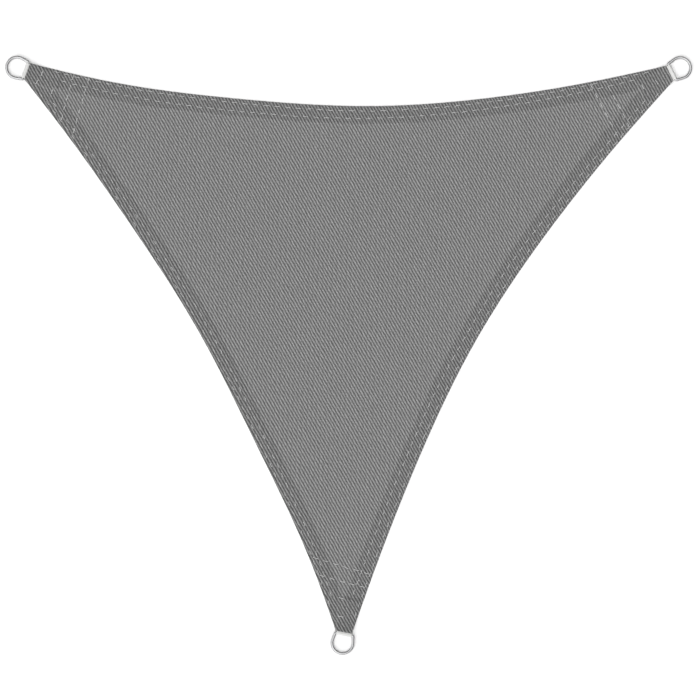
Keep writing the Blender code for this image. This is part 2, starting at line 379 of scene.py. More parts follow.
def grain(places, size, seed):
    """Smooth noise from -1 to 1, with a random value at each corner of patches of this size."""
    a, b = (places / size).T
    i, j = np.floor(a), np.floor(b)
    fa, fb = smooth(a - i), smooth(b - j)

    def value(i, j):
        wild = np.sin(i * 127.1 + j * 311.7 + seed * 74.7) * 43758.5453
        return 2.0 * (wild - np.floor(wild)) - 1.0

    low = value(i, j) * (1 - fa) + value(i + 1, j) * fa
    high = value(i, j + 1) * (1 - fa) + value(i + 1, j + 1) * fa
    return low * (1 - fb) + high * fb


# ---- heights of the cloth -----------------------------------------------------------------------


def upper_ply(tip, out):
    """(height, slope) of the middle of the upper ply, at distances outside the short end.

    It climbs from level, where the plies meet, to its slope at the bar.
    """
    run = tip.bar_out - TURN_RADIUS * math.sin(PLY_SLOPE) + PLIES_MEET
    low = TAPE * 1.5 + GAP
    rise = BAR_HEIGHT + TURN_RADIUS * math.cos(PLY_SLOPE) - low
    end_slope = math.tan(PLY_SLOPE)
    share = np.maximum((out + PLIES_MEET) / run, 0.0)
    height = low + rise * share**2 * (3 - 2 * share) + run * end_slope * share**2 * (share - 1)
    slope = rise / run * 6 * share * (1 - share) + end_slope * share * (3 * share - 2)
    return height, slope


def over_tape(tip, out):
    """The height of the cloth's underside on the webbing."""
    height, slope = upper_ply(tip, out)
    return height + (TAPE / 2 + GAP) * np.sqrt(1 + slope**2)


def tip_lift(points):
    """How far the webbing beneath the tips holds the cloth up."""
    lift = np.zeros(len(points))
    for tip in TIPS:
        out, aside = from_tape(tip, points)
        past_edge = np.maximum(np.maximum(aside - HELD_HALF, -HELD_TAIL - out), 0.0)
        lift = np.maximum(lift, over_tape(tip, out) - CLOTH_FALL * past_edge)
    return lift


def lie(points):
    """The slow waves in which the cloth lies."""
    wide = grain(points, WIDE_WAVES, seed=1)
    small = grain(points, SMALL_WAVES, seed=2)
    return LIE * (0.5 + 0.35 * wide + 0.15 * small)


def hem_share(away):
    """1 where the hem is folded beneath the face, and 0 in the single cloth."""
    return smooth((HEMS + FALL_END - away) / (FALL_END - FALL_BEGIN)).max(axis=1)


def off_crest(points):
    """0 on the crest of a rib and 1 in the groove."""
    return np.abs(2.0 * (points @ ACROSS / RIB_PITCH % 1.0) - 1.0)


def rib_share(points):
    """1 on the crest of a rib and 0 in the groove, with crests that are a little uneven."""
    crest = 1.0 - off_crest(points) ** RIB_ROUND
    return crest * (0.88 + 0.12 * grain(weave_of(points), RIB_FRAY, seed=3))


def pucker(points, away):
    """How deep the rows of stitches pull the face in."""
    depth = np.zeros(len(points))
    for side, curve, distance in zip(SIDES, CURVES, away.T):
        for row in HEM_ROWS[side.name]:
            past = distance - row_inset(row, curve, points)
            depth = np.maximum(depth, 1.0 - (past / PUCKER_HALF) ** 2)
    return PUCKER * depth * (0.8 + 0.2 * grain(points, PUCKER_SIZE, seed=4))


def face_z(points, away):
    """The height of the face, above points that lie this far away from the sides."""
    flat = tip_lift(points) + lie(points) + SHEET + FOLD * hem_share(away)
    return flat + RIB_HEIGHT * rib_share(points) - pucker(points, away)


def back_z(points, away):
    """The same of the back. It lies low in the hems and comes down again beside their cut edge."""
    past = past_hems(away)
    fallen = smooth(past / FALL_END)
    ribs = RIB_HEIGHT / 2 * (1.0 - off_crest(points))
    single = BACK_LIFT + (CUT_EDGE - BACK_LIFT) * (1.0 - fallen) + ribs * fallen
    waves = lie(points) * smooth(past / LIE_BEHIND)
    return tip_lift(points) + waves + np.where(past > 0.0, single, BACK_LIFT)


def beneath_z(points, away):
    """The height at which thread runs behind the cloth, or behind the tape where that is."""
    height = np.maximum(back_z(points, away) - BACK_LIFT, 0.0)
    for tip in TIPS:
        out, aside = from_tape(tip, points)
        height[(out > -TAPE_TAIL) & (aside < TAPE_WIDTH / 2)] = 0.0
    return height


# ---- meshes -------------------------------------------------------------------------------------


def triangulated(outline, lines):
    """(points, triangles, where each outline point went), with an edge along each of the lines."""
    given = [Vector(p) for p in outline]
    edges = []
    for line in lines:
        edges += [(len(given) + i, len(given) + i + 1) for i in range(len(line) - 1)]
        given += [Vector(p) for p in line]
    made = delaunay_2d_cdt(given, edges, [list(range(len(outline)))], 1, 1e-6)
    triangles = np.array([corners for corners, source in zip(made[2], made[5]) if source])
    used, triangles = np.unique(triangles, return_inverse=True)
    points = np.array([p[:] for p in made[0]])[used]
    place = {old: new for new, old in enumerate(used)}
    went = [0] * len(outline)
    for i, sources in enumerate(made[3]):
        for source in sources:
            if source < len(outline):
                went[source] = place[i]
    return points, triangles.reshape(-1, 3), np.array(went)


def boundary(triangles, count):
    """The points round the outside, anticlockwise."""
    ends = np.concatenate([triangles[:, [0, 1]], triangles[:, [1, 2]], triangles[:, [2, 0]]])
    outer = ends[~np.isin(ends[:, 0] * count + ends[:, 1], ends[:, 1] * count + ends[:, 0])]
    following = dict(outer.tolist())
    loop = [int(outer[0, 0])]
    while following[loop[-1]] != loop[0]:
        loop.append(following[loop[-1]])
    return np.array(loop)


def skin(near, far):
    """Quads that join each closed row of points to the next row."""
    quads = np.stack((near, np.roll(near, -1, axis=-1), np.roll(far, -1, axis=-1), far), axis=-1)
    return quads.reshape(-1, 4)


def turned_over(quads):
    """The same quads, facing the other way."""
    return quads[:, [0, 3, 2, 1]]


def mesh_object(name, material, vertices, faces, uvs=None, values=None):
    """A smooth-shaded mesh. uvs are given for each corner of each face, values for each vertex."""
    data = bpy.data.meshes.new(name)
    data.from_pydata(np.asarray(vertices).tolist(), [], faces)
    if uvs is not None:
        layer = data.uv_layers.new(name="weave")
        layer.data.foreach_set("uv", np.asarray(uvs, np.float32).ravel())
    for key, numbers in (values or {}).items():
        attribute = data.attributes.new(key, "FLOAT", "POINT")
        attribute.data.foreach_set("value", np.asarray(numbers, np.float32))
    data.validate()
    data.shade_smooth()
    data.materials.append(material)
    obj = bpy.data.objects.new(name, data)
    bpy.context.scene.collection.objects.link(obj)
    return obj


# ---- cloth --------------------------------------------------------------------------------------


def rib_lines(outline, spacing, stops_at, past):
    """Lines along the ribs, cut where stops_at says. With past, they go on outside the outline."""
    u, v = outline @ ACROSS, outline @ ALONG
    next_u, next_v = np.roll(u, -1), np.roll(v, -1)
    lines = []
    for number in range(math.ceil(u.min() / spacing), math.floor(u.max() / spacing) + 1):
        at = number * spacing
        cut = (u > at) != (next_u > at)
        slope = (next_v[cut] - v[cut]) / (next_u[cut] - u[cut])
        ends = np.sort(v[cut] + slope * (at - u[cut]))
        for start, finish in ends.reshape(-1, 2):
            stops = stops_at(at, start, finish)
            if past > 0:
                stops = np.concatenate(([start - past], stops, [finish + past]))
            if len(stops) > 1:
                lines.append(at * ACROSS + stops[:, None] * ALONG)
    return lines


def face_stops(at, start, finish):
    """Cuts every HEM_STEP near the sides and every PANEL_STEP elsewhere."""
    first = math.ceil((start + HEM_STEP / 3) / HEM_STEP)
    last = math.floor((finish - HEM_STEP / 3) / HEM_STEP)
    numbers = np.arange(first, last + 1)
    stops = numbers * HEM_STEP
    away = from_sides(at * ACROSS + stops[:, None] * ALONG).min(axis=1)
    every = round(PANEL_STEP / HEM_STEP)
    return stops[(away < FINE_WITHIN) | (numbers % every == 0)]


def back_stops(at, start, finish):
    """Cuts every BACK_STEP, only in the single cloth."""
    stops = np.arange(math.ceil(start / BACK_STEP), math.floor(finish / BACK_STEP) + 1) * BACK_STEP
    away = from_sides(at * ACROSS + stops[:, None] * ALONG)
    return stops[(away > HEMS + 2 * FALL_END).all(axis=1)]


def tip_lines(tip):
    """The lines along which the cloth bends as it climbs onto the webbing of one tip."""
    outs = [-CLIMB_STEP * number for number in range(CLIMBS)] + [-HELD_TAIL]
    feet = [(out, HELD_HALF + float(over_tape(tip, out)) / CLOTH_FALL) for out in outs]
    tail_lift = 2 * TAPE + 2 * GAP
    tail_foot = (-HELD_TAIL - tail_lift / CLOTH_FALL, feet[-1][1])

    def spot(out, aside):
        return tip_point(tip, -out, aside + tip.slide)

    lines = [[spot(out, -foot), spot(out, foot)] for out, foot in feet[1:] + [tail_foot]]
    for way in (-1, 1):
        lines.append([spot(out, foot * way) for out, foot in feet + [tail_foot]])
        lines.append([spot(0.0, HELD_HALF * way), spot(-HELD_TAIL, HELD_HALF * way)])
        lines.append([spot(-HELD_TAIL, HELD_HALF * way), spot(tail_foot[0], tail_foot[1] * way)])
    return [np.array(line) for line in lines]


def bend_lines(past_hem):
    """Lines beside the hems' cut edges, at each of these distances past them, and at the tips."""
    lines = []
    for side, curve in zip(SIDES, CURVES):
        lines += [moved_in(curve, side.hem + past) for past in past_hem]
    for tip in TIPS:
        lines += tip_lines(tip)
    return lines


def runs_inside(line, outline, margin, step):
    """The stretches of a line that stay inside the outline, cut into short steps."""
    length = lengths_along(line)[-1]
    points = cut_at(line, np.linspace(0.0, length, max(2, math.ceil(length / step) + 1)))
    x, y = points.T
    inside = np.zeros(len(points), bool)
    for a, b in zip(outline, np.roll(outline, -1, axis=0)):
        if a[1] != b[1]:
            crossing = (b[0] - a[0]) * (y - a[1]) / (b[1] - a[1]) + a[0]
            inside ^= ((a[1] > y) != (b[1] > y)) & (x < crossing)
    keep = inside & (nearest_on(points, np.vstack((outline, outline[:1])))[0] > margin)
    changes = np.flatnonzero(keep[1:] != keep[:-1]) + 1
    runs = zip(np.split(points, changes), np.split(keep, changes))
    return [run for run, kept in runs if kept[0] and len(run) > 1]


def cloth_face():
    """(points, triangles) of the face's plan, up to where its edge starts to turn down."""
    outline = grown(OUTLINE, -EDGE_ROUND)
    lines = rib_lines(outline, RIB_PITCH / LINES_PER_RIB, face_stops, past=LINE_PAST)
    lines += bend_lines((FALL_BEGIN, FALL_END / 2, FALL_END))
    return triangulated(outline, lines)[:2]


def cloth_back(outline):
    """(points, triangles, where each outline point went) of the back's plan."""
    lines = rib_lines(outline, RIB_PITCH / 2, back_stops, past=0.0)
    for bend in bend_lines((*CUT_FACE, FALL_END)):
        lines += runs_inside(bend, outline, BACK_MARGIN, BACK_BEND_STEP)
    return triangulated(outline, lines)


def drifted(points, away):
    """Ribs wander a little sideways, except at the outer edge."""
    drift = RIB_DRIFT * grain(weave_of(points), DRIFT_SIZE, seed=5)
    return points + ACROSS * (drift * smooth(away.min(axis=1) / DRIFT_FROM_EDGE))[:, None]


def edge_rings(edge, high, low):
    """Rows of vertices round the fold, between the face's edge and the back's."""
    rings = []
    for angle in np.radians(EDGE_ANGLES):
        plan = grown(edge, EDGE_ROUND * math.cos(angle))
        rings.append(np.column_stack((plan, (high + low) / 2 + (high - low) / 2 * math.sin(angle))))
    return rings


def folded_weave(points, triangles):
    """weave_of the back, for each corner of each triangle. In the hems, the ribs are mirrored."""
    corners = points[triangles]
    past = from_sides(corners.mean(axis=1)) - HEMS
    nearest = past.argmin(axis=1)
    turned = past.min(axis=1) < 0.0
    for number, curve in enumerate(CURVES):
        mirrored = 2.0 * nearest_on(points, curve)[1] - points
        here = turned & (nearest == number)
        corners[here] = mirrored[triangles[here]]
    return weave_of(corners)


def add_cloth(material):
    """The sail as one closed mesh: its face, the fold round its edge and its back."""
    points, triangles = cloth_face()
    loop = boundary(triangles, len(points))
    back_points, back_triangles, went = cloth_back(points[loop])
    away, back_away = from_sides(points), from_sides(back_points)
    top, under = face_z(points, away), back_z(back_points, back_away)
    rings = edge_rings(points[loop], top[loop], under[went])
    face = np.column_stack((drifted(points, away), top))
    vertices = np.vstack((face, *rings, np.column_stack((back_points, under))))

    ring_count = len(rings) * len(loop)
    first_back = len(points) + ring_count
    ring_rows = len(points) + np.arange(ring_count).reshape(len(rings), -1)
    rows = [loop, *ring_rows, first_back + went]
    quads = np.concatenate([turned_over(skin(row, lower)) for row, lower in zip(rows, rows[1:])])
    back_faces = back_triangles[:, ::-1]
    faces = triangles.tolist() + quads.tolist() + (first_back + back_faces).tolist()

    weaves = (
        weave_of(points[triangles]),
        weave_of(vertices[:, :2][quads]),
        folded_weave(back_points, back_faces),
    )
    uvs = np.concatenate([weave.reshape(-1, 2) for weave in weaves])
    beneath = (past_hems(back_away) < 0.0).astype(float)
    hem = np.concatenate([hem_share(away), np.ones(ring_count), beneath])
    return mesh_object("sail", material, vertices, faces, uvs, {"hem": hem})


# ---- sewing -------------------------------------------------------------------------------------

# A seam's line carries stretches of thread, which show on the face or run behind.
Seam = namedtuple("Seam", "line starts length shown")

SHARE = np.linspace(0.0, 1.0, STITCH_CUTS)  # where a stretch of thread is cut
ENDS = 1.0 - smooth(np.minimum(SHARE, 1 - SHARE) / END_SHARE)  # 1 at its ends and 0 between them


def stretches(seam):
    """The plan of each of a seam's stretches of thread."""
    return cut_at(seam.line, seam.starts[:, None] + SHARE * seam.length)


def heights(surface, plan):
    """The heights of a surface along each stretch of thread."""
    points = plan.reshape(-1, 2)
    return surface(points, from_sides(points)).reshape(plan.shape[:2])


def bridged(height):
    """A taut line over the crests: each point is as high as the highest of its neighbours."""
    wide = np.pad(height, ((0, 0), (2, 2)), mode="edge")
    return np.max([wide[:, shift : shift + height.shape[1]] for shift in range(5)], axis=0)


def stitch_paths(seam, strand, rng):
    """The middles of the stitches on the face, each a little bent, and dipping in at its ends."""
    plan = stretches(seam)
    aside = turned_left(unit(plan[:, -1] - plan[:, 0]))
    bend = rng.normal(0.0, BEND, len(plan))[:, None] * np.sin(math.pi * SHARE)
    hook = rng.normal(0.0, HOOK, len(plan))[:, None] * smooth((SHARE - HOOK_FROM) / (1 - HOOK_FROM))
    slant = rng.normal(0.0, SLANT, len(plan))[:, None] * (SHARE - 0.5)
    plan = plan + aside[:, None] * (bend + hook + slant)[:, :, None]
    height = bridged(heights(face_z, plan)) + ON_CLOTH * strand - FACE_DIP * ENDS
    return np.dstack((plan, np.maximum(height, 2 * strand)))


def back_paths(seam, strand):
    """The middles of the thread's stretches on the back, pressed into the cloth."""
    plan = stretches(seam)
    return np.dstack((plan, heights(beneath_z, plan) + 2 * strand * PRESSED + BACK_DIP * ENDS))


def sideways_and_up(paths):
    """The directions across each path, at each of its points."""
    ahead = unit(np.gradient(paths, axis=1))
    aside = unit(np.cross(ahead, (0.0, 0.0, 1.0)))
    return aside, np.cross(aside, ahead)


def strands(paths, strand, flat):
    """The middles of the two strands that are twisted round each path."""
    run = np.cumsum(np.linalg.norm(np.diff(paths, axis=1, prepend=paths[:, :1]), axis=2), axis=1)
    aside, up = sideways_and_up(paths)
    both = []
    for half in (0.0, math.pi):
        angle = (run / TWIST * 2 * math.pi + half)[:, :, None]
        turned = aside * np.cos(angle) + up * np.sin(angle) * flat[:, None, None]
        both.append(paths + turned * strand * STRANDS_APART)
    return np.concatenate(both)


def tubes(paths, radius, flat):
    """(vertices, faces) of closed tubes. flat is the share of its height that each one keeps."""
    count, steps, _ = paths.shape
    aside, up = sideways_and_up(paths)
    up = up * flat[:, None, None]
    angles = np.arange(STRAND_SIDES) * 2 * math.pi / STRAND_SIDES
    ring = aside[:, :, None] * np.cos(angles)[:, None] + up[:, :, None] * np.sin(angles)[:, None]
    vertices = (paths[:, :, None] + ring * radius).reshape(-1, 3)
    index = np.arange(len(vertices)).reshape(count, steps, STRAND_SIDES)
    faces = skin(index[:, 1:], index[:, :-1]).tolist()
    faces += index[:, 0].tolist() + index[:, -1, ::-1].tolist()
    return vertices, faces


def add_stitching(name, seams, strand, material, rng):
    """One piece from the stitches on the face, and from the thread between them on the back."""
    shown = [stitch_paths(seam, strand, rng) for seam in seams if seam.shown]
    behind = [back_paths(seam, strand) for seam in seams if not seam.shown]
    flat = np.repeat((1.0, PRESSED), (sum(map(len, shown)), sum(map(len, behind))))
    paths = strands(np.concatenate(shown + behind), strand, flat)
    return mesh_object(name, material, *tubes(paths, strand, np.tile(flat, 2)))


def stitched(line, starts, pitch, stitch):
    """Stitches on the face, and the stretches of thread behind it that join them."""
    behind = Seam(line, starts[:-1] + stitch, pitch - stitch, False)
    return [Seam(line, starts, stitch, True), behind]


def hem_seams(side, curve):
    """The two rows along a hem."""
    seams = []
    for row in HEM_ROWS[side.name]:
        line = moved_in(curve, row_inset(row, curve, curve)[:, None])
        middles = np.arange(row.first, lengths_along(line)[-1] - row.last, row.pitch)
        seams += stitched(line, middles - row.stitch / 2, row.pitch, row.stitch)
    return seams


def corner_seams(tip):
    """The rows across a corner and those of the tape. A lone stitch is in the middle of its row."""
    seams = []
    for row in CORNER_ROWS[tip.name]:
        line = np.array([tip_point(tip, *row.start), tip_point(tip, *row.finish)])
        room = lengths_along(line)[-1] - CORNER_STITCH
        if row.stitches == 1:
            seams.append(Seam(line, np.array([room / 2]), CORNER_STITCH, True))
        else:
            pitch = room / (row.stitches - 1)
            seams += stitched(line, np.arange(row.stitches) * pitch, pitch, CORNER_STITCH)
    starts = np.arange(TAPE_ROW_STITCHES) * TAPE_STITCH_PITCH
    for inward in TAPE_ROWS:
        ends = [tip_point(tip, inward, tip.slide + half) for half in (-TAPE_ROW_HALF, TAPE_ROW_HALF)]
        seams.append(Seam(np.array(ends), starts, TAPE_STITCH, False))
    return seams


# ---- fittings -----------------------------------------------------------------------------------


def tip_frame(tip):
    """X to the right of the way the ring points, Y the way it points and Z up."""
    spot = tip_point(tip, 0.0, tip.slide)
    return Matrix.Translation((*spot, 0.0)) @ Matrix.Rotation(math.radians(tip.bearing - 90), 4, "Z")


def placed(vertices, matrix):
    m = np.array(matrix)
    return vertices @ m[:3, :3].T + m[:3, 3]


def tape_path(tip):
    """The middle of the tape as (out, height): beneath the bar, round it and back over itself."""
    turn = np.linspace(-math.pi / 2, math.pi / 2 + PLY_SLOPE, TURN_CUTS)
    bar = np.array((tip.bar_out, BAR_HEIGHT))
    round_bar = bar + TURN_RADIUS * np.column_stack((np.cos(turn), np.sin(turn)))
    below = np.linspace(-TAPE_TAIL, tip.bar_out, LOWER_CUTS)[:-1]
    above = np.linspace(round_bar[-1, 0], -TAPE_TAIL, UPPER_CUTS)[1:]
    lower = np.column_stack((below, TAPE / 2 + TAPE_LIFT * smooth(-below / TAPE_LIFT_WITHIN)))
    upper = np.column_stack((above, upper_ply(tip, above)[0]))
    return np.vstack((lower, round_bar, upper))


def add_webbing(tip, material):
    """The tape, thinner at its edges and finely ridged by its weft. Also returns its flat length."""
    path = tape_path(tip)
    run = lengths_along(path)
    normal = turned_left(unit(np.gradient(path, axis=0)))
    across = np.linspace(-1.0, 1.0, TAPE_COLUMNS + 1)
    half = TAPE / 2 * np.sqrt(1.0 - np.abs(across) ** SELVEDGE * SELVEDGE_LOSS)
    ridge = WEFT_RIDGE * np.cos(run * 2 * math.pi / WEFT_PITCH)[:, None]
    thick = np.maximum(half[None, :] - WEFT_SUNK + ridge, TAPE / 6)
    aside = np.broadcast_to(across * TAPE_WIDTH / 2, thick.shape)
    layers = []
    for way in (1, -1):
        spot = path[:, None] + normal[:, None] * (thick * way)[:, :, None]
        layers.append(np.dstack((aside, spot)))
    section = np.concatenate((layers[0], layers[1][:, ::-1]), axis=1)

    steps, width, _ = section.shape
    vertices = section.reshape(-1, 3)
    index = np.arange(steps * width).reshape(steps, width)
    quads = skin(index[:-1], index[1:])
    ends = [index[0, ::-1].tolist(), index[-1].tolist()]
    corners = np.concatenate((quads.ravel(), *ends))
    uvs = np.column_stack((vertices[corners, 0], np.repeat(run, width)[corners]))
    vertices = placed(vertices, tip_frame(tip))
    return mesh_object(f"loop_{tip.name}", material, vertices, quads.tolist() + ends, uvs), run[-1]


def ring_outline():
    """The ring's closed centre line as (aside, out), starting in the middle of its bar."""
    bow_out = RING_REACH - BOW_RADIUS
    leg_end = np.array((BOW_RADIUS * math.cos(LEG_LEAN), bow_out - BOW_RADIUS * math.sin(LEG_LEAN)))
    turn = math.pi / 2 - LEG_LEAN
    bar_end = leg_end[0] - leg_end[1] * math.tan(LEG_LEAN) - CORNER_RADIUS * math.tan(turn / 2)
    bend = np.linspace(0.0, turn, CORNER_CUTS)[:, None]
    bow = np.linspace(-LEG_LEAN, math.pi / 2, BOW_CUTS)[:, None]
    bar = np.linspace((0.0, 0.0), (bar_end, 0.0), BAR_CUTS)[:-1]
    corner = (bar_end, 0.0) + CORNER_RADIUS * np.hstack((np.sin(bend), 1 - np.cos(bend)))
    leg = np.linspace(corner[-1], leg_end, LEG_CUTS)[1:-1]
    arc = (0.0, bow_out) + BOW_RADIUS * np.hstack((np.cos(bow), np.sin(bow)))
    half = np.vstack((bar, corner, leg, arc))
    return np.vstack((half, half[-2:0:-1] * (-1, 1)))


def add_ring(tip, material):
    """A ring of round wire that leans from its bar down to the floor."""
    loop = ring_outline()
    aside = -turned_left(unit(np.roll(loop, -1, axis=0) - np.roll(loop, 1, axis=0)))
    angles = np.arange(RING_SIDES) * 2 * math.pi / RING_SIDES
    plan = loop[:, None] + aside[:, None] * (np.cos(angles) * WIRE / 2)[None, :, None]
    height = np.broadcast_to(np.sin(angles) * WIRE / 2, plan.shape[:2])
    vertices = np.dstack((plan, height)).reshape(-1, 3)
    index = np.arange(len(vertices)).reshape(len(loop), RING_SIDES)
    quads = turned_over(skin(index, np.roll(index, -1, axis=0)))
    tilt = -math.asin((BAR_HEIGHT - WIRE / 2) / RING_REACH)
    seat = Matrix.Translation((0.0, tip.bar_out, BAR_HEIGHT)) @ Matrix.Rotation(tilt, 4, "X")
    vertices = placed(vertices, tip_frame(tip) @ seat)
    return mesh_object(f"d_ring_{tip.name}", material, vertices, quads.tolist())


# ---- materials ----------------------------------------------------------------------------------


class Nodes:
    """A node tree being put together."""

    def __init__(self, tree):
        self.tree = tree

    def feed(self, socket, value):
        if isinstance(value, bpy.types.NodeSocket):
            self.tree.links.new(value, socket)
        else:
            socket.default_value = value

    def add(self, kind, inputs=(), **settings):
        node = self.tree.nodes.new(kind)
        for key, value in settings.items():
            setattr(node, key, value)
        for key, value in dict(inputs).items():
            self.feed(node.inputs[key], value)
        return node

    def math(self, operation, *values):
        return self.add("ShaderNodeMath", enumerate(values), operation=operation).outputs[0]

    def times(self, first, second):
        return self.math("MULTIPLY", first, second)

    def plus(self, first, second):
        return self.math("ADD", first, second)

    def spot(self, x, y, z=0.0):
        return self.add("ShaderNodeCombineXYZ", {"X": x, "Y": y, "Z": z}).outputs[0]

    def noise(self, spot, scale=1.0, detail=2.0):
        inputs = {"Vector": spot, "Scale": scale, "Detail": detail}
        return self.add("ShaderNodeTexNoise", inputs).outputs["Fac"]

    def between(self, share, low, high):
        """A number from low to high."""
        inputs = {"Value": share, "To Min": low, "To Max": high}
        return self.add("ShaderNodeMapRange", inputs, clamp=False).outputs[0]

    def eased(self, value, start, finish, low, high):
        """Low up to start, high from finish on, and a smooth change between them."""
        inputs = {"Value": value, "From Min": start, "From Max": finish}
        inputs |= {"To Min": low, "To Max": high}
        return self.add("ShaderNodeMapRange", inputs, interpolation_type="SMOOTHSTEP").outputs[0]

    def wave(self, value):
        """From 0, where the value is whole, to 1 halfway between."""
        turned = self.math("COSINE", self.times(value, 2 * math.pi))
        return self.math("MULTIPLY_ADD", turned, -0.5, 0.5)

    def mix(self, share, first, second):
        node = self.add("ShaderNodeMix", data_type="RGBA")
        self.feed(node.inputs["Factor"], share)
        colours = [socket for socket in node.inputs if socket.type == "RGBA"]
        self.feed(colours[0], first)
        self.feed(colours[1], second)
        return next(socket for socket in node.outputs if socket.type == "RGBA")

    def weave(self):
        """The cloth's or the tape's own two directions, in metres."""
        place = self.add("ShaderNodeUVMap", uv_map="weave").outputs[0]
        parts = self.add("ShaderNodeSeparateXYZ", {"Vector": place})
        return parts.outputs["X"], parts.outputs["Y"]


class Surface(Nodes):
    """The nodes of a material, starting with its shader."""

    def __init__(self, name, **settings):
        self.material = bpy.data.materials.new(name)
        self.material.use_nodes = True
        super().__init__(self.material.node_tree)
        self.shader = self.tree.nodes["Principled BSDF"]
        for socket, value in settings.items():
            self.set(socket.replace("_", " ").title(), value)

    def set(self, socket, value):
        self.feed(self.shader.inputs[socket], value)

    def bump(self, height, distance):
        inputs = {"Height": height, "Distance": distance, "Strength": 1.0}
        self.set("Normal", self.add("ShaderNodeBump", inputs).outputs[0])


def grey(value):
    return (value, value, value, 1.0)


def highlight_streaks(s, place, steps):
    """Painted highlights in streaks beside the crests, laid like bricks, and the angle from which
    they come.
    """
    beside = s.plus(place, BRICK_ASIDE)
    number = s.math("FLOOR", beside)
    window = s.math("SINE", s.times(s.math("SUBTRACT", beside, number), math.pi))
    turn = s.times(s.math("MULTIPLY_ADD", number, 0.5, steps), 2 * math.pi)
    streak = s.times(s.math("COSINE", turn), HIGHLIGHT_STREAK)
    streak = s.math("MULTIPLY_ADD", s.math("COSINE", s.times(turn, 3.0)), FINE_HIGHLIGHT_STREAK, streak)
    return s.times(streak, window), turn


def loop_contrast(s, number, loop, ribs, steps, turn):
    """How strongly the knit shows, which changes from loop to loop and from patch to patch."""
    one_loop = s.spot(number, s.math("FLOOR", loop))
    noise = s.add("ShaderNodeTexWhiteNoise", {"Vector": one_loop}, noise_dimensions="2D")
    uneven = s.noise(s.spot(s.times(ribs, 0.9), s.times(steps, 2.6), 3.0))
    contrast = s.times(s.between(uneven, 0.25, 1.75), s.between(noise.outputs["Value"], 0.72, 1.28))
    twice = s.math("COSINE", s.times(turn, 2.0))
    return s.times(contrast, s.math("MULTIPLY_ADD", twice, -0.13, 1.0))


def cloth_surface():
    """Knitted ribs: crests of slanting loops and grooves crossed by thin yarns, with painted light
    on the crests and painted shade in the grooves.
    """
    s = Surface("ribbed_cloth")
    across, along = s.weave()

    # Where the point lies: in ribs, whose tone wanders sideways, and in bricks along them.
    ribs = s.math("DIVIDE", across, RIB_PITCH)
    steps = s.math("DIVIDE", along, BRICK)
    slow = s.noise(s.spot(s.times(ribs, 0.7), s.times(steps, 1.6)))
    place = s.plus(ribs, s.between(slow, -RIB_WANDER, RIB_WANDER))
    crest = s.wave(place)
    number = s.math("FLOOR", place)

    # The patterns: loops, painted highlight streaks, thin yarns and fibres.
    off_middle = s.math("ABSOLUTE", s.math("SUBTRACT", s.math("SUBTRACT", place, number), 0.5))
    loop = s.plus(s.times(steps, LOOPS), s.times(off_middle, LOOP_SLANT))
    loop_light = s.math("POWER", s.wave(loop), 0.45)
    streak, turn = highlight_streaks(s, place, steps)
    contrast = loop_contrast(s, number, loop, ribs, steps, turn)
    yarns = s.math("POWER", s.wave(s.times(steps, 2.0 * LOOPS)), 2.0)
    in_groove = s.math("POWER", s.math("SUBTRACT", 1.0, crest), 4.0)
    fibre = s.noise(s.spot(s.times(across, 2600.0), s.times(along, 800.0)))

    # light is painted light and shade of the ribs, with the knit's loops and yarns: it goes from 0
    # in the grooves to about 1 on the crests.
    light = s.times(s.math("POWER", crest, 1.1), s.between(loop_light, 0.62, 1.0))
    light = s.math("MULTIPLY_ADD", s.math("SUBTRACT", light, 0.4), contrast, 0.4)
    light = s.plus(light, streak)
    light = s.plus(light, s.times(in_groove, s.between(yarns, -0.06, 0.14)))
    light = s.math("MINIMUM", s.math("MAXIMUM", light, 0.0), 1.2)
    tone = s.times(s.between(light, SHADED_GROOVE_TONE, LIT_CREST_TONE), s.between(fibre, 0.85, 1.15))
    shaded_hem_tone = s.times(s.between(light, HEM_SHADE_GROOVE, HEM_SHADE_CREST), tone)
    # Over the folded hem the cloth gets painted shade, as its double layer lets less light through.
    hem = s.add("ShaderNodeAttribute", attribute_name="hem").outputs["Fac"]
    blend = s.add("ShaderNodeMapRange", {"Value": hem, "To Min": tone, "To Max": shaded_hem_tone})
    shade = blend.outputs[0]
    colour = s.add("ShaderNodeCombineColor", {"Red": shade, "Green": shade, "Blue": shade})
    s.set("Base Color", colour.outputs[0])

    relief = s.plus(s.times(loop_light, crest), s.times(fibre, 0.3))
    s.bump(s.plus(relief, s.times(in_groove, s.times(yarns, 0.5))), 0.0003)
    s.set("Roughness", s.between(light, 0.92, 0.70))
    return s.material


def webbing_surface():
    """Flat woven tape: fine weft ridges across it and twill lines slanting over them."""
    s = Surface("pale_webbing", roughness=0.7)
    across, along = s.weave()
    weft = s.wave(s.times(along, 1 / WEFT_PITCH))
    twill = s.wave(s.plus(s.times(across, 1 / TWILL_ACROSS), s.times(along, 1 / TWILL_ALONG)))
    soil = s.noise(s.spot(s.times(across, 60.0), s.times(along, 90.0)), detail=4.0)
    fibre = s.noise(s.spot(s.times(across, 1800.0), s.times(along, 900.0)))
    cover = s.times(s.between(weft, 0.90, 1.0), s.between(twill, 0.92, 1.0))
    cover = s.times(cover, s.between(fibre, 0.93, 1.05))
    cover = s.times(cover, s.between(soil, 0.92, 1.04))
    s.set("Base Color", s.mix(cover, grey(0.10), TAPE_TONE))
    s.bump(s.plus(s.times(twill, 0.7), s.times(fibre, 0.4)), 0.0002)
    return s.material


def thread_surface():
    """Bonded sewing thread, almost white, a little darker where it has rubbed."""
    s = Surface("sewing_thread", roughness=0.55)
    place = s.add("ShaderNodeTexCoord").outputs["Object"]
    fibre = s.noise(place, scale=1400.0)
    worn = s.noise(place, scale=90.0, detail=3.0)
    s.set("Base Color", s.mix(s.times(fibre, s.between(worn, 0.6, 1.4)), grey(0.50), grey(0.80)))
    s.bump(fibre, 0.00008)
    return s.material


